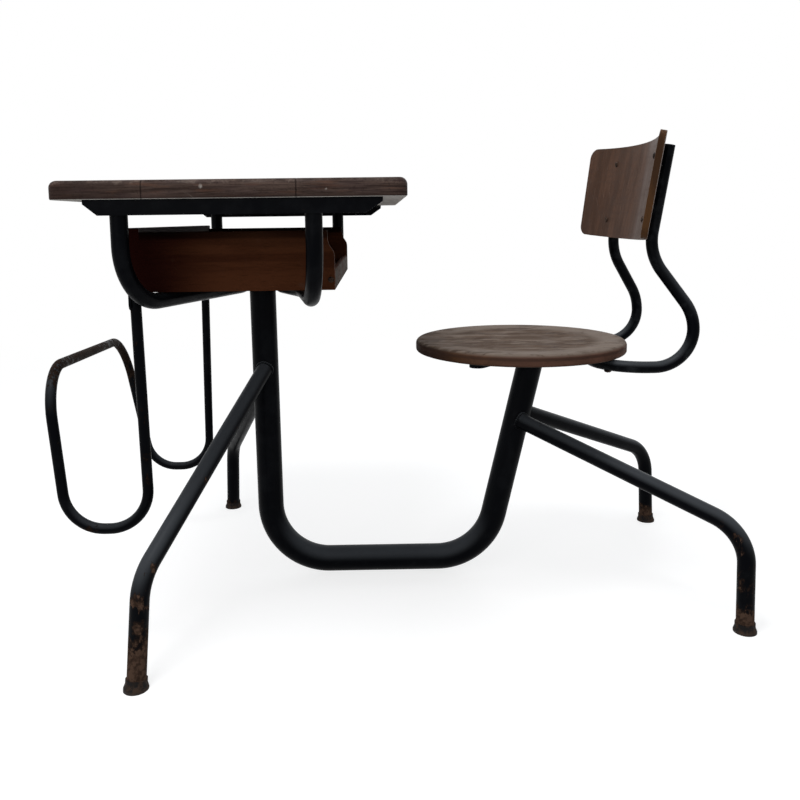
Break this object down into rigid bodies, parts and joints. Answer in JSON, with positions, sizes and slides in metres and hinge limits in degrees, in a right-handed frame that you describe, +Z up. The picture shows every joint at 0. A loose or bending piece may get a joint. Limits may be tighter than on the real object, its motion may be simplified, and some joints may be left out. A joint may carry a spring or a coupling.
{
  "type": "school desk with attached seat",
  "caption": "Wooden school desk and round seat in one piece on a bent steel tube spine, with an open book box, splayed legs, a curved back panel and a bag rack.",
  "frame": {"origin": "centre of the bounding box at floor level, under the middle of the piece", "axes": "+X from the desk to the seat, so the pupil faces -X; -Y is the pupil's left; +Z up"},
  "size_m": [1.043, 0.6992, 0.7255],
  "materials": {
    "black_steel": "worn semi-gloss paint with rust chips",
    "rod_steel": "worn paint over a rusting rod",
    "foot_rubber": "matt",
    "top_wood": "dark worn varnish",
    "box_wood": "dark red-brown varnish",
    "box_floor_wood": "plain board",
    "seat_wood": "worn varnish",
    "panel_wood": "varnished ply",
    "screw_steel": "dull, browned"
  },
  "bodies": {
    "root": {"back_panel": "panel_wood", "back_tube": "black_steel", "bag_rack": "rod_steel", "box_floor": "box_floor_wood", "box_front_panel": "box_wood", "box_lip": "box_wood", "box_screws": "screw_steel", "box_side_left": "box_wood", "box_side_right": "box_wood", "clip_screws": "screw_steel", "desk_leg_foot_left": "foot_rubber", "desk_leg_foot_right": "foot_rubber", "desk_leg_left": "black_steel", "desk_leg_right": "black_steel", "front_hoop": "black_steel", "head_plate": "black_steel", "panel_bolts": "screw_steel", "panel_nuts": "screw_steel", "plate_screws": "screw_steel", "rack_clips": "black_steel", "rail_left": "black_steel", "rail_right": "black_steel", "rear_hoop": "black_steel", "seat_bolts": "screw_steel", "seat_disc": "seat_wood", "seat_leg_foot_left": "foot_rubber", "seat_leg_foot_right": "foot_rubber", "seat_leg_left": "black_steel", "seat_leg_right": "black_steel", "seat_nuts": "screw_steel", "seat_spider": "black_steel", "spine_tube": "black_steel", "top_board_front": "top_wood", "top_board_middle": "top_wood", "top_board_rear": "top_wood", "top_screws": "screw_steel"}
  },
  "joints": []
}
